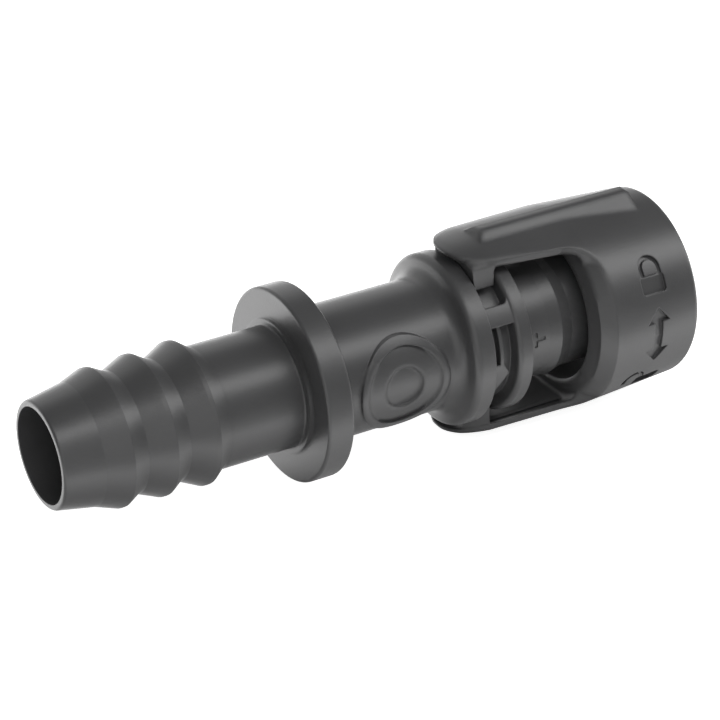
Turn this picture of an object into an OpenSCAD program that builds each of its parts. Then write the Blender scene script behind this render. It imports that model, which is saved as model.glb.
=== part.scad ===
/* [Water passage] */
// Diameter of the passage that runs through the body
bore_d = 10.4; // [9:0.1:10.8]

/* [Hose tail] */
// Outer diameter at the very tip of the hose tail
tip_d = 11.6; // [11.4:0.1:12.4]
// Length of the smooth lead cone
lead_len = 4.3; // [3:0.1:5]
// Diameter at the roots between the barbs
barb_root_d = 13.2; // [12.6:0.1:14]
// Crest diameter of the barb next to the tip
barb_crest_d = 14.94; // [14.6:0.02:15.2]
// Growth of the crest diameter from each barb to the next
barb_growth = 0.32; // [0:0.02:0.5]
// Number of barbs
barb_count = 3; // [1:1:4]
// Distance between the crests
barb_pitch = 4.8; // [4.4:0.1:5.2]
// Length of the slope in front of a crest
barb_slope_len = 2.4; // [1.8:0.1:2.6]
// Length of the flat on a crest
barb_flat = 0.5; // [0.3:0.1:0.6]
// Length of the steep back behind a crest
barb_back_len = 1.6; // [1:0.1:1.7]
// Diameter of the plain shank that the clamp sits on
shank_d = 13.4; // [12.8:0.1:14]
// Length of the hose tail from its tip to the flange
tail_len = 27.7; // [25:0.1:34]

/* [Flange and middle tube] */
// Diameter of the flange that stops the hose
flange_d = 21.4; // [19:0.1:26]
// Thickness of the flange
flange_t = 3.1; // [2:0.1:4]
// Diameter of the low step at the root of the flange
root_step_d = 14.8; // [14.2:0.1:16]
// Height of that step
root_step_t = 0.5; // [0.3:0.1:1]
// Outer diameter of the middle tube
tube_d = 14.7; // [14.2:0.1:16]
// Length of the middle tube
tube_len = 15.1; // [14:0.1:20]

/* [Round pad] */
// Diameter of the round pad on the middle tube
pad_d = 10.9; // [8:0.1:11.4]
// Distance from the flange to the middle of the pad
pad_at = 8.1; // [7:0.1:8.4]
// Height of the pad's rim above the tube
pad_rise = 0.35; // [0.2:0.05:0.6]
// Width of the pad's rim
pad_rim_w = 0.9; // [0.4:0.05:1.4]
// Depth of the dished middle below the rim
pad_dish_depth = 0.3; // [0.1:0.05:0.5]
// Diameter of the small round recess in the middle of the pad
pad_eye_d = 4.6; // [3:0.1:6]
// Depth of that recess
pad_eye_depth = 0.4; // [0.1:0.05:0.6]

/* [Bayonet] */
// Diameter of the collar that the sleeve's hooks grip behind
collar_d = 19.3; // [18.6:0.1:19.6]
// Width of the collar's rim
collar_t = 1.8; // [1.4:0.1:2.4]
// Length of the round shoulder that leads up to the collar
shoulder_len = 1.2; // [0.9:0.1:3]
// Width of the groove that the hooks turn in
groove_w = 3.1; // [2.8:0.1:3.6]
// Diameter at the bottom of the groove
groove_core_d = 15.2; // [14.2:0.1:15.6]
// Diameter of the thin guide ring behind the groove
guide_d = 18.6; // [18.2:0.1:19.2]
// Thickness of the guide ring
guide_t = 1.85; // [1.2:0.05:2.2]
// Angle from the sleeve's arm to the upper side of the stop across the groove
stop_from = 46.5; // [44:0.5:50]
// Angle to the lower side of the stop
stop_to = 60.2; // [56:0.2:62]
// Radius of the inner corners of the stop
stop_fillet = 0.6; // [0.2:0.1:0.8]
// How far the stop stays below the rim of the guide ring
stop_drop = 0.25; // [0.1:0.05:0.4]
// Radius of the guide ring's edge towards the groove
guide_round = 0.6; // [0.2:0.1:0.8]
// Height of the detent rib and its tooth above the bottom of the groove
detent_h = 0.9; // [0.6:0.05:1]
// Width of the detent rib
detent_rib_w = 0.45; // [0.3:0.05:0.8]
// Angle at which the rib ends and the tooth begins
detent_angle = 90; // [84:1:96]
// Length of the tooth along the groove
detent_tooth_len = 4.2; // [3:0.1:5]

/* [Pipe nipple] */
// Diameter of the nipple that the pipe is pushed over
nipple_d = 13.2; // [12.6:0.1:13.6]
// Diameter of the thicker root of the nipple
nipple_root_d = 13.7; // [13.2:0.1:14]
// Length of the nipple from the guide ring to its end
nipple_len = 16.4; // [15.4:0.1:17.4]
// Crest diameter of the nipple's two sealing barbs
seal_crest_d = 14.1; // [13.8:0.1:14.4]
// Length of the slopes of the inner sealing barb
seal_slope_len = 1.5; // [1:0.1:1.8]
// Distance from the guide ring to the inner sealing barb
seal_at = 5.2; // [4.6:0.1:5.8]
// Distance between the two sealing barbs
seal_pitch = 7.6; // [7:0.1:8]
// Diameter at the end of the nipple
nipple_tip_d = 12.2; // [12:0.1:12.8]

/* [Locking sleeve] */
// Largest outer diameter of the sleeve
sleeve_d = 22.8; // [22.4:0.1:24]
// How much the radius shrinks towards the mouth of the sleeve
mouth_drop = 0.7; // [0.4:0.05:1.2]
// Length of the closed ring of the sleeve behind its windows
ring_len = 11.2; // [9:0.1:14]
// Diameter of the socket that takes the pipe
socket_d = 16.5; // [16.2:0.1:16.8]
// Diameter of the wider entry of the socket at the mouth
entry_d = 17; // [16.9:0.1:17.6]
// Length of that entry
entry_len = 3.7; // [2:0.1:4]
// Thickness of the two arms
arm_wall = 0.7; // [0.6:0.05:1]
// How far the tips of the arms stay behind the front of the collar's rim
nose_setback = 0.4; // [0:0.05:0.6]
// Length of an arm's rounded nose
nose_len = 5.1; // [4.5:0.05:6]
// Width of an arm where its rounded nose ends
arm_w = 9.2; // [8:0.1:9.6]
// Width of an arm where it meets the ring
arm_root_w = 11; // [10:0.1:12]
// Radius of the corners of the two windows
window_corner_r = 4.3; // [3:0.1:4.6]
// Length of the bevel at the ring's end of the windows
bevel_len = 1.45; // [0.6:0.05:1.6]
// Depth of that bevel below the outside of the sleeve
bevel_depth = 1.3; // [1:0.05:1.6]
// How far the inner edge of the ring's end face stands out from the foot of the bevel
lip_len = 0.6; // [0.2:0.05:1]
// Height of the grip rib's crest above the arm
rib_h = 0.65; // [0.4:0.05:1.2]
// Width of the rib's flat crest
rib_crest_w = 1.4; // [1:0.1:3]
// Slope of the rib's sides, from the flat
rib_slope = 37; // [30:1:60]
// Distance from the arm's nose to the rib's crest
rib_start = 4.7; // [4:0.05:7]
// Length of the rib's crest
rib_len = 19.3; // [16:0.1:20]
// Width of the hook under each arm, along the groove's axis
hook_w = 2.4; // [1.8:0.1:2.5]
// Play between a hook and the collar
hook_play = 0.25; // [0.2:0.05:0.4]
// Clearance between a hook and the detent that it passes
hook_clearance = 0.25; // [0.15:0.05:0.4]
// How far a hook's face leans over the collar
hook_lean = 0.35; // [0:0.05:0.4]
// Radius of the fillet at the root of a hook
hook_fillet = 0.5; // [0.2:0.1:0.8]

/* [Hidden] */
$fn = 96;

// Places along the axis, from the tip of the hose tail
flange_x = tail_len;
tube_x = flange_x + flange_t;
shoulder_x = tube_x + tube_len;
collar_x = shoulder_x + shoulder_len;
groove_x = collar_x + collar_t;
guide_x = groove_x + groove_w;
nipple_x = guide_x + guide_t;
nipple_end = nipple_x + nipple_len;
first_crest = lead_len + barb_slope_len;

pad_x = tube_x + pad_at;
nose_x = collar_x + nose_setback;
arm_side_x = nose_x + nose_len;
// Length of the windows behind the guide ring
window_len = 9.65;
ring_x = nipple_x + window_len;
bevel_x = ring_x - bevel_len;
socket_x = bevel_x - lip_len;
mouth_x = ring_x + ring_len;
detent_r = groove_core_d / 2 + detent_h;
hook_r = detent_r + hook_clearance;
outer_r = sleeve_d / 2;
hollow_r = outer_r - arm_wall;
bevel_r = outer_r - bevel_depth;
// Slope of the ring's end face
lip_slope = lip_len / (bevel_r - socket_d / 2);

// Small roundings of the moulded edges
edge_r = 0.35;
fine_r = 0.15;
mouth_r = 0.7;
shoulder_fillet = 1.6;
hook_inset = 0.06;
arm_fillet = 0.8;
shoulder_round = 0.9;
past = 1;
arc_steps = 6;

// The edge of an arm as seen from above, from its nose to the ring
nose_steps = 14;
arm_edge = concat(
    [for (i = [0 : nose_steps]) let (a = 90 * i / nose_steps)
        [arm_side_x - nose_len * cos(a), arm_w / 2 * sin(a)]],
    [for (p = corner([arm_side_x, arm_w / 2], [ring_x, arm_root_w / 2],
        [ring_x, sleeve_d], window_corner_r, 10)) p],
    [[ring_x, outer_r + past]]);

// Half the width of an arm within its rounded nose
function arm_half(x) = arm_w / 2 * sqrt(1 - pow((arm_side_x - x) / nose_len, 2));

// Points of an arc that rounds the corner b between a and c
function unit(v) = v / norm(v);
function corner(a, b, c, r, steps) =
    let (u = unit(a - b),
        v = unit(c - b),
        half = acos(u * v) / 2,
        room = 0.85 * min(norm(a - b), norm(c - b)) * tan(half),
        rr = min(r, room),
        mid = b + unit(u + v) * rr / sin(half),
        from = b + u * rr / tan(half) - mid,
        to = b + v * rr / tan(half) - mid,
        sweep = 180 - 2 * half)
    [for (i = [0 : steps]) let (t = i / steps)
        mid + (from * sin(sweep * (1 - t)) + to * sin(sweep * t)) / sin(sweep)];

// An outline whose points are [place, radius, rounding]
function soft(p) = [for (i = [0 : len(p) - 1])
    let (n = len(p),
        b = [p[i][0], p[i][1]],
        a = [p[(i + n - 1) % n][0], p[(i + n - 1) % n][1]],
        c = [p[(i + 1) % n][0], p[(i + 1) % n][1]])
    each (p[i][2] == 0 ? [b] : corner(a, b, c, p[i][2], arc_steps))];

// A solid of revolution about the X axis from [place, radius, rounding]
module turned(p) {
    rotate([0, 90, 0])
        rotate_extrude()
            polygon([for (q = soft(p)) [q[1], q[0]]]);
}

// A plain tube or ring about the X axis
module ring_solid(x0, x1, r0, r1) {
    rotate([0, 90, 0])
        rotate_extrude()
            translate([r0, x0])
                square([r1 - r0, x1 - x0]);
}

// Turns what points up to the given angle, seen from the hose tail
module at_angle(a) {
    rotate([a, 0, 0])
        children();
}

// Copies for the front half and the half turned by 180 degrees
module both_sides() {
    for (a = [0, 180])
        at_angle(a)
            children();
}

// Outline points of one barb whose crest starts at x
function barb(x, root_r, crest_r, slope, flat, back) = [
    [x - slope, root_r, 0],
    [x, crest_r, fine_r],
    [x + flat, crest_r, fine_r],
    [x + flat + back, root_r, 0.3]];

// Outer form of the body, tip to nipple
function body_outline() = concat(
    [[0, 0, 0], [0, tip_d / 2, edge_r]],
    [for (i = [0 : barb_count - 1])
        let (crest = first_crest + i * barb_pitch,
            crest_r = (barb_crest_d + i * barb_growth) / 2)
        each barb(crest, barb_root_d / 2, crest_r, barb_slope_len, barb_flat, barb_back_len)],
    [[first_crest + (barb_count - 1) * barb_pitch + barb_flat + barb_back_len + 0.6, shank_d / 2, 0],
    [flange_x - root_step_t, shank_d / 2, 0],
    [flange_x - root_step_t, root_step_d / 2, fine_r],
    [flange_x, root_step_d / 2, fine_r],
    [flange_x, flange_d / 2, edge_r],
    [tube_x, flange_d / 2, edge_r],
    [tube_x, tube_d / 2, edge_r],
    [shoulder_x, tube_d / 2, shoulder_fillet],
    [shoulder_x + 0.6 * shoulder_len, collar_d / 2, shoulder_round],
    [groove_x, collar_d / 2, fine_r],
    [groove_x, groove_core_d / 2, 0],
    [guide_x, groove_core_d / 2, 0],
    [guide_x, guide_d / 2, guide_round],
    [nipple_x, guide_d / 2, fine_r],
    [nipple_x, nipple_root_d / 2, 0.3]],
    [[nipple_x + seal_at - seal_slope_len, nipple_root_d / 2, 0],
    [nipple_x + seal_at, seal_crest_d / 2, fine_r],
    [nipple_x + seal_at + seal_slope_len, nipple_d / 2, 0]],
    [[nipple_x + seal_at + seal_pitch - 0.8, nipple_d / 2, 0],
    [nipple_x + seal_at + seal_pitch, seal_crest_d / 2, fine_r],
    [nipple_end - 0.9, nipple_d / 2, 0],
    [nipple_end, nipple_tip_d / 2, 0.3],
    [nipple_end, 0, 0]]);

// A flat outline, with y growing away from the top, raised along the radius at the
// given angle and trimmed to a ring
module raised(angle, r0, r1) {
    intersection() {
        at_angle(angle)
            mirror([0, 1, 0])
                linear_extrude(height = r1 + past)
                    children();
        ring_solid(collar_x, nipple_x, r0, r1);
    }
}

// A bridge across the groove that stops the hooks
module rotation_stop() {
    half = guide_d / 2 * sin((stop_to - stop_from) / 2);
    x0 = groove_x - 0.05;
    x1 = guide_x + 0.05;
    raised((stop_from + stop_to) / 2, groove_core_d / 2 - past, guide_d / 2 - stop_drop)
        polygon(concat(
            [[x0 - 0.5, half], [x0 - 0.5, -half - stop_fillet]],
            corner([x0, -half - 4], [x0, -half], [x1, -half], stop_fillet, arc_steps),
            corner([x0, -half], [x1, -half], [x1, -half - 4], stop_fillet, arc_steps),
            [[x1 + 0.5, -half - stop_fillet], [x1 + 0.5, half]]));
}

// The thin rib below the stop and the tooth that the hooks snap over
module detent() {
    middle = (stop_to + detent_angle) / 2;
    reach = detent_r * sin((detent_angle - stop_to) / 2);
    rib_x = groove_x + 1.2;
    peak_x = groove_x + 2.4;
    raised(middle, groove_core_d / 2 - past, detent_r)
        polygon([[rib_x, -reach - 0.5], [rib_x + detent_rib_w, -reach - 0.5],
            [rib_x + detent_rib_w, reach], [peak_x, reach + 1.1],
            [groove_x, reach + detent_tooth_len], [groove_x - 0.5, reach + detent_tooth_len],
            [groove_x - 0.5, reach - 0.1], [rib_x, reach - 0.1]]);
}

// A cylinder about the X axis that the pad's faces follow
module pad_barrel(r) {
    rotate([0, 90, 0])
        cylinder(h = 2 * pad_d, r = r, center = true);
}

// Places what is built at the pad, standing up, on the front of the tube
module at_pad() {
    at_angle(90)
        translate([pad_x, 0, 0])
            children();
}

// Round pad on the front of the middle tube
module pad() {
    rim_z = tube_d / 2 + pad_rise;
    at_pad()
        intersection() {
            cylinder(h = rim_z + past, d = pad_d);
            pad_barrel(rim_z);
        }
}

// The dished middle of the pad and the round recess in it
module pad_hollow() {
    dish_z = tube_d / 2 + pad_rise - pad_dish_depth;
    at_pad() {
        difference() {
            cylinder(h = 2 * dish_z, d = pad_d - 2 * pad_rim_w);
            pad_barrel(dish_z);
        }
        difference() {
            cylinder(h = 2 * dish_z, d = pad_eye_d);
            pad_barrel(dish_z - pad_eye_depth);
        }
    }
}

// One moulding: hose tail, flange, tube, bayonet and nipple
module coupling_body() {
    color([0.27, 0.28, 0.29])
        difference() {
            union() {
                turned(body_outline());
                pad();
                both_sides() {
                    rotation_stop();
                    detent();
                }
            }
            pad_hollow();
            rotate([0, 90, 0])
                translate([0, 0, -past])
                    cylinder(h = nipple_end + 2 * past, d = bore_d);
        }
}

// Ring and arms before the windows are cut
module sleeve_shell() {
    turned([
        [nose_x, hollow_r, 0],
        [nose_x, hollow_r + 0.3, fine_r],
        [nose_x + 1.2, outer_r - 0.2, 1.5],
        [nose_x + 4, outer_r, 2],
        [ring_x - 1, outer_r, 3],
        [mouth_x, outer_r - mouth_drop, mouth_r],
        [mouth_x, entry_d / 2, edge_r],
        [mouth_x - entry_len, entry_d / 2, 0],
        [mouth_x - entry_len, socket_d / 2, 0],
        [socket_x, socket_d / 2, fine_r],
        [socket_x + lip_slope * (hollow_r - socket_d / 2), hollow_r, arm_fillet]]);
}

// The arms and the ring as seen from above
module arm_outline() {
    far = [for (i = [len(arm_edge) - 1 : -1 : 1]) [arm_edge[i][0], -arm_edge[i][1]]];
    polygon(concat(
        [for (p = arm_edge) p],
        [[mouth_x, outer_r + past], [mouth_x, -outer_r - past]],
        far));
}

// Both windows, with the bevel where they end at the ring
module window_cut() {
    reach = sleeve_d + 2 * past;
    intersection() {
        linear_extrude(height = 2 * reach, center = true)
            difference() {
                translate([nose_x - past, -reach])
                    square([ring_x - nose_x + 2 * past, 2 * reach]);
                arm_outline();
            }
        turned([
            [nose_x - past, 0, 0],
            [nose_x - past, sleeve_d, 0],
            [ring_x - 0.04 + bevel_len, outer_r + bevel_depth, 0],
            [bevel_x - 0.04, bevel_r, 0],
            [socket_x - 0.04, socket_d / 2, 0],
            [socket_x - 0.04, 0, 0]]);
    }
}

// Raised grip rib along the middle of an arm
module grip_rib() {
    crest_z = outer_r + rib_h;
    drop = 2.2;
    spread = drop / tan(rib_slope);
    x0 = nose_x + rib_start;
    x1 = x0 + rib_len;
    intersection() {
        rotate([90, 0, 90])
            linear_extrude(height = mouth_x)
                polygon([[-rib_crest_w / 2 - spread, crest_z - drop], [rib_crest_w / 2 + spread, crest_z - drop],
                    [rib_crest_w / 2, crest_z], [-rib_crest_w / 2, crest_z]]);
        rotate([90, 0, 0])
            linear_extrude(height = 4 * drop + spread, center = true)
                polygon(soft([[x0 - drop * 0.7, crest_z - drop, 0], [x0, crest_z, 0.8],
                    [x1, crest_z, fine_r], [x1 + 0.1 * drop, crest_z - drop, 0]]));
    }
}

// The hook under the upper arm that grips behind the collar: straight on the front,
// where it stands out of the rounded nose, and as wide as the nose on the far side
module hook() {
    x0 = groove_x + hook_play;
    x1 = x0 + hook_w;
    root_x = x1 + 2 * hook_fillet;
    front_y = hook_inset - arm_w / 2;
    far_edge = [for (i = [8 : -1 : 0])
        let (x = nose_x + 0.5 + i / 8 * (arm_side_x - nose_x - 0.5))
        [x, arm_half(x) - hook_inset]];
    intersection() {
        turned([
            [x0 - hook_lean, hollow_r + arm_wall / 2, 0],
            [root_x, hollow_r + arm_wall / 2, 0],
            [root_x, hollow_r + 0.05, 0],
            [x1, hollow_r + 0.05, hook_fillet],
            [x1, hook_r, fine_r],
            [x0, hook_r, fine_r]]);
        linear_extrude(height = sleeve_d)
            polygon(concat(
                [[nose_x + 0.5, front_y], [arm_side_x + past, front_y],
                [arm_side_x + past, -front_y]],
                far_edge));
    }
}

// Second moulding: the sleeve that turns on the body to lock the pipe
module locking_sleeve() {
    color([0.24, 0.25, 0.26]) {
        difference() {
            sleeve_shell();
            window_cut();
        }
        both_sides() {
            hook();
            grip_rib();
        }
    }
}

coupling_body();
locking_sleeve();
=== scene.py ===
"""Looks of a drip irrigation coupling: moulded plastic, sunk signs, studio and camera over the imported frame."""

import logging
import math
from dataclasses import dataclass, field
from enum import Enum
from typing import Callable

import bmesh
import bpy
from mathutils import Matrix, Vector

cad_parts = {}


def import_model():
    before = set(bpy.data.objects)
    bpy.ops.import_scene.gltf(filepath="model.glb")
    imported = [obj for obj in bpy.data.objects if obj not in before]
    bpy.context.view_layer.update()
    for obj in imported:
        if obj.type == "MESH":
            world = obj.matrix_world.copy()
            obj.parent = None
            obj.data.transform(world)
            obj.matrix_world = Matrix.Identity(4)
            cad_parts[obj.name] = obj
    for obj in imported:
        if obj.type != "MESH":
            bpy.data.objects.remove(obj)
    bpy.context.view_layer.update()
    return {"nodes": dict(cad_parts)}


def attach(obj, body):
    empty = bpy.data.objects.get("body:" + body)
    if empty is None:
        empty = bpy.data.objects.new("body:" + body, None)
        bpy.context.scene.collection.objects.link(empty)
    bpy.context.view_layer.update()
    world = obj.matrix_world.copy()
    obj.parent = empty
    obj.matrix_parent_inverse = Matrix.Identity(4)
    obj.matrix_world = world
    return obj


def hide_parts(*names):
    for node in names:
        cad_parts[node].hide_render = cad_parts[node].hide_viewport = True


LOG = logging.getLogger("coupling")
MM = 0.001
WHITE = (1.0, 1.0, 1.0, 1.0)
WELD_MM = 0.002
FLAT_WITHIN_DEG = 0.6


class Body(Enum):
    """The two bodies that pieces ride on."""

    COUPLING = "body"
    SLEEVE = "sleeve"


class Sign(Enum):
    """The signs sunk into the ring of the sleeve."""

    LOCKED = "locked"
    TURN = "turn"
    UNLOCKED = "unlocked"


def clear_selection() -> None:
    """Leave edit mode and deselect every object."""
    if bpy.context.object and bpy.context.object.mode != "OBJECT":
        bpy.ops.object.mode_set(mode="OBJECT")
    bpy.ops.object.select_all(action="DESELECT")


def pick(piece: bpy.types.Object) -> None:
    """Make one object the selected and active one.

    Args:
        piece: The object to pick.
    """
    clear_selection()
    piece.select_set(True)
    bpy.context.view_layer.objects.active = piece


def freeze_place(piece: bpy.types.Object) -> None:
    """Move the object's place, turn and scale into its mesh.

    Args:
        piece: The object to freeze.
    """
    pick(piece)
    bpy.ops.object.transform_apply(location=True, rotation=True, scale=True)


def apply_all(piece: bpy.types.Object) -> None:
    """Apply every modifier of a piece, first to last.

    Args:
        piece: The object whose modifiers are applied.
    """
    pick(piece)
    for name in [m.name for m in piece.modifiers]:
        bpy.ops.object.modifier_apply(modifier=name)


def merged_copy(node: bpy.types.Object, name: str) -> bpy.types.Object:
    """Copy a CAD node and join its loose triangles into one closed skin.

    Args:
        node: The CAD node, which stays as it is.
        name: Name of the copy.

    Returns:
        The copy, with flat triangles joined into faces.
    """
    piece = bpy.data.objects.new(name, node.data.copy())
    bpy.context.scene.collection.objects.link(piece)
    piece.data.name = name
    if piece.data.attributes.get("custom_normal"):
        piece.data.attributes.remove(piece.data.attributes["custom_normal"])
    pick(piece)
    bpy.ops.object.mode_set(mode="EDIT")
    bpy.ops.mesh.select_all(action="SELECT")
    bpy.ops.mesh.remove_doubles(threshold=WELD_MM * MM)
    bpy.ops.mesh.dissolve_limited(angle_limit=math.radians(FLAT_WITHIN_DEG), use_dissolve_boundaries=False)
    bpy.ops.object.mode_set(mode="OBJECT")
    return piece


def cut(piece: bpy.types.Object, tool: bpy.types.Object) -> None:
    """Cut a tool out of a piece and delete the tool.

    Args:
        piece: The piece that is changed.
        tool: The closed mesh that is used up.
    """
    change = piece.modifiers.new("change", "BOOLEAN")
    change.operation = "DIFFERENCE"
    change.solver = "EXACT"
    change.object = tool
    apply_all(piece)
    bpy.data.objects.remove(tool, do_unlink=True)


def choose(piece: bpy.types.Object, kind: str, test: Callable) -> None:
    """Select faces or edges of the piece in edit mode, and nothing else.

    Args:
        piece: The piece, in edit mode.
        kind: FACE or EDGE.
        test: Says of a face or an edge whether it is chosen.
    """
    bpy.ops.mesh.select_mode(type=kind)
    bpy.ops.mesh.select_all(action="DESELECT")
    shape = bmesh.from_edit_mesh(piece.data)
    for part in (shape.faces if kind == "FACE" else shape.edges):
        if test(part):
            part.select_set(True)
    shape.select_flush_mode()
    bmesh.update_edit_mesh(piece.data)


def block(size: tuple[float, float, float], centre: tuple[float, float, float],
          corner: float = 0.0) -> bpy.types.Object:
    """Make a block whose upright edges may be rounded.

    Args:
        size: Its three sides in mm.
        centre: Its middle in mm.
        corner: Radius of the upright edges in mm.

    Returns:
        The block.
    """
    clear_selection()
    bpy.ops.mesh.primitive_cube_add(size=1.0, location=Vector(centre) * MM)
    tool = bpy.context.object
    tool.scale = Vector(size) * MM
    freeze_place(tool)
    if corner:
        bpy.ops.object.mode_set(mode="EDIT")
        choose(tool, "EDGE", lambda edge: abs(edge.verts[0].co.z - edge.verts[1].co.z) > 0.9 * edge.calc_length())
        bpy.ops.mesh.bevel(offset=corner * MM, segments=5, affect="EDGES")
        bpy.ops.object.mode_set(mode="OBJECT")
    return tool


def turn_to(tools: list[bpy.types.Object], x: float, angle: float) -> list[bpy.types.Object]:
    """Bring cutters from their flat frame to their place on the round wall.

    Args:
        tools: The cutters.
        x: Their place along the passage, in mm.
        angle: Their turn about the passage, in degrees.

    Returns:
        The same cutters.
    """
    for tool in tools:
        tool.location = (x * MM, 0.0, 0.0)
        tool.rotation_euler = (math.radians(angle), 0.0, 0.0)
        freeze_place(tool)
    return tools


def set_input(node: bpy.types.Node, values: dict) -> None:
    """Set several inputs of a shader node.

    Args:
        node: The node.
        values: Value for each input's name.
    """
    for name, value in values.items():
        node.inputs[name].default_value = value


@dataclass(frozen=True)
class SoftZone:
    """A box where moulded edges are rounder, repeated above and below the axis if it is lifted.

    Its centre, lift along Z, half sides and edge radius are in mm.
    """

    centre: tuple[float, float, float]
    lift: float
    half: tuple[float, float, float]
    radius: float
    fade: float = 0.85

    def mask(self, tree: bpy.types.NodeTree, place: bpy.types.NodeSocket) -> bpy.types.NodeSocket:
        """Build the nodes that are 1 inside the box and 0 outside.

        Args:
            tree: The material's node tree.
            place: Socket of the object coordinates.

        Returns:
            The mask's socket.
        """
        nodes, links = tree.nodes, tree.links
        socket = place
        for step, value in (("SUBTRACT", self.centre), ("ABSOLUTE", None), ("SUBTRACT", (0.0, 0.0, self.lift)),
                            ("ABSOLUTE", None), ("DIVIDE", self.half)):
            math_node = nodes.new("ShaderNodeVectorMath")
            math_node.operation = step
            links.new(socket, math_node.inputs[0])
            if value:
                math_node.inputs[1].default_value = Vector(value) * MM
            socket = math_node.outputs[0]
        parts = nodes.new("ShaderNodeSeparateXYZ")
        links.new(socket, parts.inputs[0])
        largest = parts.outputs["X"]
        for axis in ("Y", "Z"):
            more = nodes.new("ShaderNodeMath")
            more.operation = "MAXIMUM"
            links.new(largest, more.inputs[0])
            links.new(parts.outputs[axis], more.inputs[1])
            largest = more.outputs[0]
        inside = nodes.new("ShaderNodeMapRange")
        set_input(inside, {"From Min": self.fade, "From Max": 1.0, "To Min": 1.0, "To Max": 0.0})
        links.new(largest, inside.inputs["Value"])
        return inside.outputs["Result"]


@dataclass(frozen=True)
class MouldedPlastic:
    """Glass-filled, satin moulded plastic with a fine spark-eroded grain and soft edges.

    The shade and the colour are the two ends of its slow drift in tint. The grain, the drift and the
    radius of a plain edge are in mm.
    """

    name: str
    zones: tuple[SoftZone, ...]
    colour: tuple[float, float, float] = (0.047, 0.047, 0.048)
    shade: tuple[float, float, float] = (0.041, 0.041, 0.042)
    roughness: float = 0.36
    roughness_spread: float = 0.05
    grain_mm: float = 0.2
    grain_depth: float = 0.22
    grain_height: float = 0.05
    flow_mm: float = 9.0
    edge: float = 0.13

    def make(self) -> bpy.types.Material:
        """Build the material.

        Returns:
            The new material.
        """
        material = bpy.data.materials.new(self.name)
        material.use_nodes = True
        tree = material.node_tree
        nodes, links = tree.nodes, tree.links
        shader = nodes["Principled BSDF"]
        place = nodes.new("ShaderNodeTexCoord").outputs["Object"]

        flow = nodes.new("ShaderNodeTexNoise")
        set_input(flow, {"Scale": 1.0 / (self.flow_mm * MM), "Detail": 3.0, "Roughness": 0.55})
        links.new(place, flow.inputs["Vector"])
        tint = nodes.new("ShaderNodeValToRGB")
        tint.color_ramp.elements[0].position = 0.35
        tint.color_ramp.elements[1].position = 0.65
        tint.color_ramp.elements[0].color = (*self.shade, 1.0)
        tint.color_ramp.elements[1].color = (*self.colour, 1.0)
        links.new(flow.outputs["Fac"], tint.inputs["Fac"])
        links.new(tint.outputs["Color"], shader.inputs["Base Color"])

        grain = nodes.new("ShaderNodeTexNoise")
        set_input(grain, {"Scale": 1.0 / (self.grain_mm * MM), "Detail": 4.0, "Roughness": 0.6})
        links.new(place, grain.inputs["Vector"])
        gloss = nodes.new("ShaderNodeMapRange")
        set_input(gloss, {"To Min": self.roughness - self.roughness_spread,
                          "To Max": self.roughness + self.roughness_spread})
        links.new(grain.outputs["Fac"], gloss.inputs["Value"])
        links.new(gloss.outputs["Result"], shader.inputs["Roughness"])

        soft = nodes.new("ShaderNodeBevel")
        soft.samples = 6
        links.new(self.edge_radius(tree, place), soft.inputs["Radius"])
        bump = nodes.new("ShaderNodeBump")
        set_input(bump, {"Strength": self.grain_depth, "Distance": self.grain_height * MM})
        links.new(grain.outputs["Fac"], bump.inputs["Height"])
        links.new(soft.outputs["Normal"], bump.inputs["Normal"])
        links.new(bump.outputs["Normal"], shader.inputs["Normal"])
        set_input(shader, {"IOR": 1.5, "Metallic": 0.0})
        return material

    def edge_radius(self, tree: bpy.types.NodeTree, place: bpy.types.NodeSocket) -> bpy.types.NodeSocket:
        """Build the nodes that give the radius of the moulded edges: the largest that any zone asks for.

        Args:
            tree: The material's node tree.
            place: Socket of the object coordinates.

        Returns:
            The radius's socket.
        """
        nodes, links = tree.nodes, tree.links
        radius = None
        for zone in self.zones:
            wider = nodes.new("ShaderNodeMapRange")
            set_input(wider, {"To Min": self.edge * MM, "To Max": zone.radius * MM})
            links.new(zone.mask(tree, place), wider.inputs["Value"])
            if radius:
                larger = nodes.new("ShaderNodeMath")
                larger.operation = "MAXIMUM"
                links.new(radius, larger.inputs[0])
                links.new(wider.outputs["Result"], larger.inputs[1])
                radius = larger.outputs[0]
            else:
                radius = wider.outputs["Result"]
        return radius


@dataclass(frozen=True)
class BodyPlastic(MouldedPlastic):
    """The body's plastic, rounder at the pad, in the bayonet groove and at the root of the flange."""

    name: str = "anthracite_body"
    zones: tuple[SoftZone, ...] = (
        SoftZone((38.9, -8.2, 0.0), 0.0, (5.9, 1.7, 7.2), 0.75),
        SoftZone((50.45, 0.0, 0.0), 0.0, (1.75, 9.3, 9.3), 0.3),
        SoftZone((27.3, 0.0, 0.0), 0.0, (1.0, 7.9, 7.9), 0.35),
    )


@dataclass(frozen=True)
class SleevePlastic(MouldedPlastic):
    """The sleeve's plastic, rounder at the grip ribs and at the corners of the windows."""

    name: str = "anthracite_sleeve"
    zones: tuple[SoftZone, ...] = (
        SoftZone((62.0, 0.0, 0.0), 12.2, (15.0, 4.9, 2.6), 1.0),
        SoftZone((62.2, 0.0, 0.0), 7.4, (2.8, 12.0, 2.8), 0.9),
    )
    edge: float = 0.2


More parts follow.
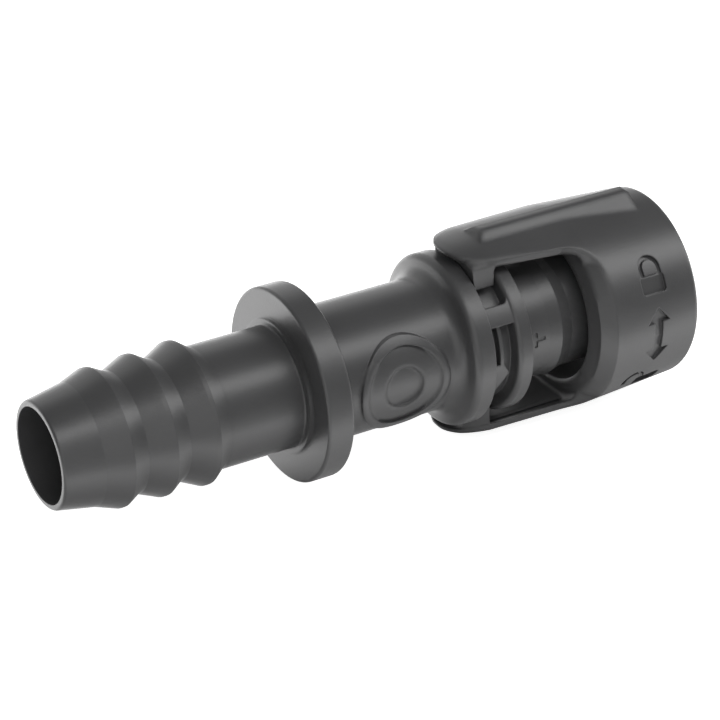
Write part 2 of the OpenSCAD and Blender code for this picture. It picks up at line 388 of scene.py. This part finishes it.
@dataclass(frozen=True)
class PaleSweep:
    """The white floor, which keeps the object's soft shadow and, for gloss alone, glows in painted bands beside
    the object in place of bounce cards.

    The lift is the glow that makes it white for the camera. Each band is a place across the floor in
    mm and the level of the painted glow that gloss sees there, a painted reflection on the object, up to span mm
    to either side.
    """

    name: str = "pale_sweep"
    colour: float = 0.8
    lift: float = 0.88
    span: float = 100.0
    # Painted glow bands: places and levels of a glow that only glossy rays see, standing in for bounce cards and
    # painting reflections on the object.
    painted_glow_bands: tuple[tuple[float, float], ...] = (
        (-45.0, 0.05), (-26.0, 2.4), (-17.0, 1.1), (-8.0, 0.0), (-2.0, 0.0), (4.0, 1.7), (30.0, 2.4))

    def make(self) -> bpy.types.Material:
        """Build the floor's material, lifted to white for the camera and to the painted glow of its bands for
        gloss.

        Returns:
            The new material.
        """
        material = bpy.data.materials.new(self.name)
        material.use_nodes = True
        material.cycles.emission_sampling = "NONE"
        nodes, links = material.node_tree.nodes, material.node_tree.links
        shader = nodes["Principled BSDF"]
        set_input(shader, {"Base Color": (self.colour,) * 3 + (1.0,), "Roughness": 1.0,
                           "Specular IOR Level": 0.0, "Emission Color": WHITE})
        parts = nodes.new("ShaderNodeSeparateXYZ")
        links.new(nodes.new("ShaderNodeTexCoord").outputs["Object"], parts.inputs[0])
        across = nodes.new("ShaderNodeMapRange")
        set_input(across, {"From Min": -self.span * MM, "From Max": self.span * MM})
        links.new(parts.outputs["Y"], across.inputs["Value"])
        # Ramp of the painted glow across the floor, which puts painted reflections on the object's underside.
        painted_glow_bands = nodes.new("ShaderNodeValToRGB")
        stops = painted_glow_bands.color_ramp.elements
        while len(stops) < len(self.painted_glow_bands):
            stops.new(0.5)
        for stop, (place, level) in zip(stops, self.painted_glow_bands):
            stop.position = 0.5 + 0.5 * place / self.span
            stop.color = (level, level, level, 1.0)
        links.new(across.outputs["Result"], painted_glow_bands.inputs["Fac"])
        rays = nodes.new("ShaderNodeLightPath")
        seen = nodes.new("ShaderNodeMath")
        seen.operation = "MAXIMUM"
        links.new(rays.outputs["Is Camera Ray"], seen.inputs[0])
        links.new(rays.outputs["Is Transmission Ray"], seen.inputs[1])
        # Painted glow: the bands' levels, seen by glossy rays only.
        painted_glow = nodes.new("ShaderNodeMath")
        painted_glow.operation = "MULTIPLY"
        links.new(rays.outputs["Is Glossy Ray"], painted_glow.inputs[0])
        links.new(painted_glow_bands.outputs["Color"], painted_glow.inputs[1])
        glow = nodes.new("ShaderNodeMath")
        glow.operation = "MULTIPLY_ADD"
        glow.inputs[1].default_value = self.lift
        links.new(seen.outputs[0], glow.inputs[0])
        links.new(painted_glow.outputs[0], glow.inputs[2])
        links.new(glow.outputs[0], shader.inputs["Emission Strength"])
        return material


@dataclass
class SoftLamp:
    """A rectangular softbox that faces the object, with its distance and size in metres and power in watts."""

    name: str
    direction: tuple[float, float, float]
    distance: float
    size: tuple[float, float]
    power: float

    def build(self, centre: Vector) -> bpy.types.Object:
        """Place the lamp.

        Args:
            centre: The point that the lamp faces.

        Returns:
            The lamp.
        """
        clear_selection()
        place = centre + Vector(self.direction).normalized() * self.distance
        bpy.ops.object.light_add(type="AREA", location=place)
        lamp = bpy.context.object
        lamp.name = self.name
        lamp.data.shape = "RECTANGLE"
        lamp.data.size, lamp.data.size_y = self.size
        lamp.data.energy = self.power
        back = (place - centre).normalized()
        across = back.cross(Vector((1.0, 0.0, 0.0))).normalized()
        along = across.cross(back).normalized()
        lamp.rotation_euler = Matrix((along, across, back)).transposed().to_euler()
        return lamp


@dataclass
class Studio:
    """White sweep, soft lamps, sky and camera, with places in mm.

    The camera's place and turn come from fitting the outline of the part in the picture.
    """

    floor_z: float = -12.06
    floor_radius: float = 420.0
    centre: tuple[float, float, float] = (38.0, 0.0, 0.0)
    camera_place: tuple[float, float, float] = (-99.785, -231.143, 153.469)
    camera_right: tuple[float, float, float] = (0.8595, -0.5112, 0.0)
    camera_up: tuple[float, float, float] = (0.2531, 0.4256, 0.8688)
    lens: float = 144.83
    sensor: float = 36.0
    sky_dark: float = 0.22
    sky_white: float = 1.15
    sky_edge: tuple[float, float] = (0.55, 0.76)
    sky_side: tuple[float, float] = (0.45, 0.3)
    lamps: list[SoftLamp] = field(default_factory=lambda: [
        SoftLamp("lamp_front_top", (0.444, -0.469, 0.763), 0.42, (1.1, 0.16), 2.45),
        SoftLamp("lamp_left_front", (-0.5, -0.83, 0.2), 0.5, (0.45, 0.7), 1.0),
    ])

    def build(self) -> None:
        """Build the floor, the lamps, the sky and the camera."""
        bpy.context.scene.view_settings.view_transform = "Standard"
        self.lay_floor()
        for lamp in self.lamps:
            lamp.build(Vector(self.centre) * MM)
            LOG.info("lamp %s", lamp.name)
        self.paint_sky()
        self.place_camera()

    def lay_floor(self) -> None:
        """Lay the round pale floor under the object."""
        clear_selection()
        bpy.ops.mesh.primitive_circle_add(
            vertices=96, radius=self.floor_radius * MM, fill_type="NGON",
            location=(self.centre[0] * MM, 0.0, self.floor_z * MM))
        floor = bpy.context.object
        floor.name = "floor"
        freeze_place(floor)
        floor.data.materials.append(PaleSweep().make())
        LOG.info("floor at %.2f mm", self.floor_z)

    def paint_sky(self) -> None:
        """Paint a sky that is white behind the object and dim in front and above."""
        world = bpy.data.worlds.new("studio_sky")
        bpy.context.scene.world = world
        world.use_nodes = True
        nodes, links = world.node_tree.nodes, world.node_tree.links
        surface = nodes["Background"]
        place = nodes.new("ShaderNodeTexCoord")
        parts = nodes.new("ShaderNodeSeparateXYZ")
        links.new(place.outputs["Generated"], parts.inputs["Vector"])
        aside = nodes.new("ShaderNodeMapRange")
        set_input(aside, {"From Min": self.sky_side[0], "To Max": self.sky_side[1]})
        links.new(parts.outputs["X"], aside.inputs["Value"])
        behind = nodes.new("ShaderNodeMath")
        behind.operation = "SUBTRACT"
        links.new(parts.outputs["Y"], behind.inputs[0])
        links.new(aside.outputs["Result"], behind.inputs[1])
        level = nodes.new("ShaderNodeMapRange")
        level.interpolation_type = "SMOOTHSTEP"
        set_input(level, {"From Min": self.sky_edge[0], "From Max": self.sky_edge[1],
                          "To Min": self.sky_dark, "To Max": self.sky_white})
        links.new(behind.outputs[0], level.inputs["Value"])
        rays = nodes.new("ShaderNodeLightPath")
        strength = nodes.new("ShaderNodeMix")
        links.new(rays.outputs["Is Camera Ray"], strength.inputs["Factor"])
        links.new(level.outputs["Result"], strength.inputs["A"])
        strength.inputs["B"].default_value = 1.0
        links.new(strength.outputs["Result"], surface.inputs["Strength"])
        surface.inputs["Color"].default_value = WHITE
        LOG.info("sky painted")

    def place_camera(self) -> None:
        """Place the camera where the picture was taken from."""
        clear_selection()
        bpy.ops.object.camera_add(location=Vector(self.camera_place) * MM)
        camera = bpy.context.object
        camera.name = "camera"
        right, up = Vector(self.camera_right).normalized(), Vector(self.camera_up).normalized()
        back = right.cross(up).normalized()
        camera.rotation_euler = Matrix((right, back.cross(right), back)).transposed().to_euler()
        camera.data.lens = self.lens
        camera.data.sensor_width = self.sensor
        camera.data.clip_start = 0.01
        camera.data.clip_end = 10.0
        bpy.context.scene.camera = camera
        LOG.info("camera with a %.1f mm lens", self.lens)


@dataclass(frozen=True)
class Padlock:
    """Where the parts of a padlock sign are in its flat frame, and how long the bow's legs are, in mm."""

    block: tuple[float, float]
    bow: tuple[float, float]
    right_leg: float
    left_leg: float


PADLOCKS = {
    Sign.LOCKED: Padlock((0.0, -1.07), (0.0, 0.75), 0.9, 0.9),
    Sign.UNLOCKED: Padlock((0.0, -0.75), (-2.1, 0.35), 0.5, 0.75),
}


@dataclass(frozen=True)
class SunkSign:
    """A sign that is sunk into a round wall, drawn upright in its own flat frame.

    It is x mm along the passage and turned about it by an angle in degrees. Its cutters reach from
    low to high mm off the axis.
    """

    kind: Sign
    x: float
    angle: float
    low: float = 9.5
    high: float = 12.5
    lock_size: tuple[float, float] = (3.2, 2.1)
    lock_corner: float = 0.4
    bow_radius: float = 1.15
    bow_width: float = 0.5
    arrow_length: float = 6.6
    arrow_head: tuple[float, float] = (3.0, 1.65)
    arrow_shaft: float = 1.1
    arrow_tip: float = 0.06
    arrow_lip: float = 0.02
    bow_steps: int = 18

    def tools(self) -> list[bpy.types.Object]:
        """Build the cutters of the sign and turn them to their place.

        Returns:
            The cutters, closed meshes that reach through the wall.
        """
        if self.kind is Sign.TURN:
            made = [self.arrow()]
        else:
            lock = PADLOCKS[self.kind]
            made = [self.lock_body(lock.block), self.bow(lock)]
        return turn_to(made, self.x, self.angle)

    def lock_body(self, centre: tuple[float, float]) -> bpy.types.Object:
        """Make the block of a padlock.

        Args:
            centre: Its middle in the sign's flat frame, in mm.

        Returns:
            The cutter.
        """
        return block((*self.lock_size, self.high - self.low), (*centre, (self.high + self.low) / 2),
                     self.lock_corner)

    def bow(self, lock: Padlock) -> bpy.types.Object:
        """Make the bow of a padlock by spinning its section round and drawing out both legs.

        Args:
            lock: Where the middle of its half circle is, and its legs.

        Returns:
            The cutter.
        """
        clear_selection()
        middle = Vector((*lock.bow, 0.0)) * MM
        height = (self.high - self.low) * MM
        bpy.ops.mesh.primitive_plane_add(
            size=1.0, rotation=(math.radians(90.0), 0.0, 0.0),
            location=middle + Vector((self.bow_radius, 0.0, (self.high + self.low) / 2)) * MM)
        tool = bpy.context.object
        tool.scale = (self.bow_width * MM, height, 1.0)
        freeze_place(tool)
        bpy.ops.object.mode_set(mode="EDIT")
        bpy.ops.mesh.select_all(action="SELECT")
        bpy.ops.mesh.spin(steps=self.bow_steps, angle=math.pi, center=middle, axis=(0.0, 0.0, -1.0))
        bpy.ops.mesh.select_all(action="SELECT")
        bpy.ops.mesh.remove_doubles(threshold=0.001 * MM)
        bpy.ops.mesh.normals_make_consistent(inside=False)
        for side, leg in ((1.0, lock.right_leg), (-1.0, lock.left_leg)):
            choose(tool, "FACE", lambda face, at=side: abs(face.calc_center_median().y - middle.y) < 0.01 * MM
                   and (face.calc_center_median().x - middle.x) * at > 0.0)
            bpy.ops.mesh.extrude_region_move(TRANSFORM_OT_translate={"value": (0.0, -leg * MM, 0.0)})
        bpy.ops.mesh.select_all(action="SELECT")
        bpy.ops.mesh.normals_make_consistent(inside=False)
        bpy.ops.object.mode_set(mode="OBJECT")
        return tool

    def arrow(self) -> bpy.types.Object:
        """Make the double-headed arrow by drawing both heads out of a shaft.

        Returns:
            The cutter.
        """
        width, head = self.arrow_head
        shaft = self.arrow_length - 2 * head
        tool = block((self.arrow_shaft, shaft, self.high - self.low), (0.0, 0.0, (self.high + self.low) / 2))
        bpy.ops.object.mode_set(mode="EDIT")
        for side in (1.0, -1.0):
            choose(tool, "FACE", lambda face, at=side: face.calc_center_median().y * at > 0.49 * shaft * MM)
            middle = Vector((0.0, side * shaft / 2, (self.high + self.low) / 2)) * MM
            bpy.ops.mesh.extrude_region_move(
                TRANSFORM_OT_translate={"value": (0.0, side * self.arrow_lip * MM, 0.0)})
            bpy.ops.transform.resize(value=(width / self.arrow_shaft, 1.0, 1.0), center_override=middle)
            bpy.ops.mesh.extrude_region_move(
                TRANSFORM_OT_translate={"value": (0.0, side * (head - self.arrow_lip) * MM, 0.0)})
            bpy.ops.transform.resize(value=(self.arrow_tip, 1.0, 1.0), center_override=middle)
        bpy.ops.mesh.select_all(action="SELECT")
        bpy.ops.mesh.normals_make_consistent(inside=False)
        bpy.ops.object.mode_set(mode="OBJECT")
        return tool


@dataclass
class IndexTick:
    """The small T-shaped tick at the root of the nipple, which shows how far the sleeve is turned.

    Its bar and stem are each given as length along the passage and width, in mm.
    """

    x: float = 55.78
    angle: float = 84.5
    bar: tuple[float, float] = (0.36, 1.8)
    stem: tuple[float, float] = (1.2, 0.4)
    corners: tuple[float, float] = (0.1, 0.12)
    low: float = 6.0
    high: float = 8.0

    def tools(self) -> list[bpy.types.Object]:
        """Build the two cutters of the tick and turn them to their place.

        Returns:
            The cutters.
        """
        height, middle = self.high - self.low, (self.high + self.low) / 2
        made = [block((*self.bar, height), (0.0, 0.0, middle), self.corners[0]),
                block((*self.stem, height), (self.stem[0] / 2, 0.0, middle), self.corners[1])]
        return turn_to(made, self.x, self.angle)


@dataclass
class Moulding:
    """One moulding of the coupling: a closed copy of its CAD node with exact, crisp shading.

    An edge stays sharp if it turns by more than crease degrees, apart from the small steps of a rounding,
    which turn by less than facet degrees beside a face narrower than facet_width mm. A face counts as
    turned if it lies outside bore mm, is longer than run mm and strays from its cone by under stray mm.
    """

    node: bpy.types.Object
    name: str
    body: Body
    slot: str
    finish: MouldedPlastic
    crease: float = 6.0
    facet: float = 16.5
    facet_width: float = 0.8
    weight: int = 80
    round_within: float = 0.9962
    bore: float = 4.0
    run: float = 0.6
    stray: float = 0.03
    steepest: float = 0.05

    def build(self) -> bpy.types.Object:
        """Copy the node, sink its marks into it, shade it and dress it.

        Returns:
            The finished piece.
        """
        piece = merged_copy(self.node, self.name)
        self.sink_marks(piece)
        self.crease_edges(piece)
        self.true_normals(piece)
        self.dress(piece)
        return piece

    def sink_marks(self, piece: bpy.types.Object) -> None:
        """Sink nothing: a plain moulding has no marks."""

    def core(self, x0: float, r0: float, x1: float, r1: float, sides: int = 192,
             turn: float = 0.0) -> bpy.types.Object:
        """Make the core whose surface is the floor of the sunk marks.

        Args:
            x0: Where it begins along the passage, in mm.
            r0: Its radius there.
            x1: Where it ends.
            r1: Its radius there.
            sides: How many flat sides it has.
            turn: How far it is turned about the passage, in degrees.

        Returns:
            The core.
        """
        clear_selection()
        bpy.ops.mesh.primitive_cone_add(
            vertices=sides, radius1=r0 * MM, radius2=r1 * MM, depth=(x1 - x0) * MM, end_fill_type="NGON",
            location=((x0 + x1) / 2 * MM, 0.0, 0.0), rotation=(0.0, math.radians(90.0), 0.0))
        made = bpy.context.object
        freeze_place(made)
        made.rotation_euler = (math.radians(turn), 0.0, 0.0)
        freeze_place(made)
        return made

    def crease_edges(self, piece: bpy.types.Object) -> None:
        """Keep creases between wide faces sharp and smooth the small steps of the roundings.

        Args:
            piece: The copy to shade.
        """
        shape = bmesh.new()
        shape.from_mesh(piece.data)
        for face in shape.faces:
            face.smooth = True
        for edge in shape.edges:
            if len(edge.link_faces) != 2:
                continue
            turn = math.degrees(edge.calc_face_angle(0.0))
            length = max(edge.calc_length(), 1e-9)
            width = min(face.calc_area() / length for face in edge.link_faces) / MM
            edge.smooth = turn < self.crease or (turn < self.facet and width < self.facet_width)
        shape.to_mesh(piece.data)
        shape.free()
        weigh = piece.modifiers.new("weigh", "WEIGHTED_NORMAL")
        weigh.mode = "FACE_AREA"
        weigh.weight = self.weight
        weigh.keep_sharp = True
        apply_all(piece)

    def true_normals(self, piece: bpy.types.Object) -> None:
        """Give every wide face of a turned surface the exact normals of its cone.

        Args:
            piece: The copy to shade.
        """
        mesh = piece.data
        normals = [corner.vector.copy() for corner in mesh.corner_normals]
        turned = 0
        for face in mesh.polygons:
            side = Vector((0.0, face.normal.y, face.normal.z))
            points = [mesh.vertices[v].co for v in face.vertices]
            rays = [Vector((0.0, p.y, p.z)) for p in points]
            if side.length < self.steepest or min(r.length for r in rays) < self.bore * MM:
                continue
            lean = [r.normalized().dot(side.normalized()) for r in rays]
            sense = 1.0 if lean[0] > 0.0 else -1.0
            if min(sense * value for value in lean) < self.round_within:
                continue
            profile = [(p.x, r.length) for p, r in zip(points, rays)]
            if math.dist(min(profile), max(profile)) < self.run * MM:
                continue
            slope = -face.normal.x / side.length * sense
            rise = [r - slope * x for x, r in profile]
            if max(rise) - min(rise) > self.stray * MM:
                continue
            for loop, p in zip(face.loop_indices, points):
                out = Vector((0.0, p.y, p.z)).normalized() * sense * side.length
                normals[loop] = Vector((face.normal.x, out.y, out.z)).normalized()
            turned += 1
        self.crown(mesh, normals)
        mesh.normals_split_custom_set([tuple(n) for n in normals])
        LOG.info("%s: %d turned faces of %d", piece.name, turned, len(mesh.polygons))

    def crown(self, mesh: bpy.types.Mesh, normals: list[Vector]) -> None:
        """Crown nothing: a plain moulding has no ribs or barbs."""

    def dress(self, piece: bpy.types.Object) -> None:
        """Give the piece its finish and its body.

        Args:
            piece: The copy to dress.
        """
        piece.data.materials.clear()
        piece.data.materials.append(self.finish.make())
        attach(piece, self.body.value)
        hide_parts(self.node.name)
        LOG.info("%s dressed", piece.name)


@dataclass
class CouplingBody(Moulding):
    """The body, with the index tick sunk into the root of its nipple.

    The crests of its barbs, and the low step at the root of its flange, are at these places along the
    passage in mm. A tilt is how far the shading leans along the passage there, in degrees.
    """

    root_radius: float = 6.85
    tick_depth: float = 0.16
    tick_core: tuple[float, float] = (50.0, 60.0)
    outside: float = 6.2
    crests: tuple[float, ...] = (6.7, 11.5, 16.3)
    crest_flat: float = 0.5
    crest_slack: tuple[float, float] = (0.1, 0.04)
    barb_reach: float = 2.3
    slope_tilt: float = -20.0
    back_tilt: float = 14.0
    step: tuple[float, float] = (27.15, 27.69)
    step_radius: float = 7.45
    step_tilt: float = -80.0

    def sink_marks(self, piece: bpy.types.Object) -> None:
        """Sink the index tick.

        Args:
            piece: The copy to cut.
        """
        floor = self.root_radius - self.tick_depth
        for tool in IndexTick().tools():
            cut(tool, self.core(self.tick_core[0], floor, self.tick_core[1], floor))
            cut(piece, tool)

    def crown(self, mesh: bpy.types.Mesh, normals: list[Vector]) -> None:
        """Shade the crest of each barb with its slope, let its back run out, and join the flange's low step.

        Args:
            mesh: The body's mesh.
            normals: Its corner normals, changed in place.
        """
        for face in mesh.polygons:
            middle = face.center / MM
            radius = math.hypot(middle.y, middle.z)
            if radius < self.outside or face.normal.dot(Vector((0.0, middle.y, middle.z))) <= 0.0:
                continue
            for loop, v in zip(face.loop_indices, face.vertices):
                p = mesh.vertices[v].co / MM
                tilt = self.tilt_at(middle.x, radius, p.x)
                if tilt is not None:
                    out = Vector((0.0, p.y, p.z)).normalized() * math.cos(math.radians(tilt))
                    normals[loop] = Vector((math.sin(math.radians(tilt)), out.y, out.z))

    def tilt_at(self, middle: float, radius: float, x: float) -> float | None:
        """Find how far the shading leans along the passage at a corner of a face.

        Args:
            middle: Where the face's middle is along the passage, in mm.
            radius: How far the face's middle is from the axis.
            x: Where the corner is along the passage.

        Returns:
            The lean in degrees, or None where the face keeps its own shading.
        """
        if self.step[0] < middle < self.step[1] and radius < self.step_radius:
            return self.step_tilt
        before, after = self.crest_slack
        for crest in self.crests:
            edge = crest + self.crest_flat
            if crest - before < middle <= edge - after:
                return self.slope_tilt
            if edge - after < middle < crest + self.barb_reach:
                share = min(1.0, max(0.0, (x - edge) / (self.barb_reach - self.crest_flat)))
                return self.back_tilt * (1.0 - share)
        return None


@dataclass
class LockingSleeve(Moulding):
    """The sleeve that turns, with its signs sunk into the ring.

    The ring tapers from its start to the mouth. The floor of the signs has flat sides. The crest of a
    grip rib is shaded as if it turned up to crest_turn degrees at each edge, and its flanks go on from
    flank_top to flank_foot. The leans tell crests, flanks and end faces apart by their own normals.
    """

    ring_start: float = 62.5
    ring_radius: float = 11.4
    mouth_x: float = 74.7
    mouth_radius: float = 10.7
    signs: tuple[SunkSign, ...] = (SunkSign(Sign.LOCKED, 68.95, 55.6), SunkSign(Sign.TURN, 69.05, 92.9),
                                   SunkSign(Sign.UNLOCKED, 69.3, 126.6))
    sign_core: tuple[float, float] = (64.0, 73.4)
    sign_depth: float = 0.3
    sign_sides: int = 20
    sign_turn: float = 3.0
    rib_crest: float = 12.05
    rib_foot: float = 10.9
    rib_half: float = 0.7
    rib_reach: float = 4.0
    end_lean: float = 0.2
    crest_lean: float = 0.97
    flank_lean: tuple[float, float] = (0.7, 0.9)
    crest_turn: float = 30.0
    flank_top: float = 46.0
    flank_foot: float = 42.0
    most_turn: float = 60.0

    def outer(self, x: float) -> float:
        """Give the ring's outer radius at a place along the passage."""
        share = (x - self.ring_start) / (self.mouth_x - self.ring_start)
        return self.ring_radius + (self.mouth_radius - self.ring_radius) * share

    def sink_marks(self, piece: bpy.types.Object) -> None:
        """Sink the closed padlock, the arrow and the open padlock.

        Args:
            piece: The copy to cut.
        """
        start, end = self.sign_core
        for sign in self.signs:
            for tool in sign.tools():
                cut(tool, self.core(start, self.outer(start) - self.sign_depth,
                                    end, self.outer(end) - self.sign_depth, self.sign_sides, self.sign_turn))
                cut(piece, tool)
            LOG.info("sign %s sunk", sign.kind.value)

    def crown(self, mesh: bpy.types.Mesh, normals: list[Vector]) -> None:
        """Shade the crests and flanks of the grip ribs as one soft crown.

        Args:
            mesh: The sleeve's mesh.
            normals: Its corner normals, changed in place.
        """
        nearly_crest = self.rib_crest - 0.1
        for face in mesh.polygons:
            side = 1.0 if face.center.z > 0.0 else -1.0
            height, lean = face.center.z * side / MM, face.normal.z * side
            beside = abs(face.center.y) > self.rib_reach * MM or abs(face.normal.x) > self.end_lean
            if height < self.rib_foot or beside:
                continue
            if lean > self.crest_lean and height > nearly_crest:
                turns = [self.crest_turn * mesh.vertices[v].co.y / (self.rib_half * MM) for v in face.vertices]
            elif self.flank_lean[0] < lean < self.flank_lean[1] and abs(face.normal.y) > 2 * self.end_lean:
                way = 1.0 if face.normal.y > 0.0 else -1.0
                turns = [way * (self.flank_top if abs(mesh.vertices[v].co.z) > nearly_crest * MM
                                else self.flank_foot) for v in face.vertices]
            else:
                continue
            for loop, turn in zip(face.loop_indices, turns):
                angle = math.radians(max(-self.most_turn, min(self.most_turn, turn)))
                normals[loop] = Vector((0.0, math.sin(angle), side * math.cos(angle)))


def main() -> None:
    """Load the frame, build the studio and both mouldings, and keep the sizes."""
    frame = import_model()
    Studio().build()
    CouplingBody(frame["nodes"]["coupling_body"], "coupling_body_moulding", Body.COUPLING, "body_plastic",
                 BodyPlastic()).build()
    LockingSleeve(frame["nodes"]["locking_sleeve"], "locking_sleeve_moulding", Body.SLEEVE, "sleeve_plastic",
                  SleevePlastic()).build()


if __name__ == "__main__":
    logging.basicConfig(level=logging.INFO, format="%(name)s: %(message)s")
    main()
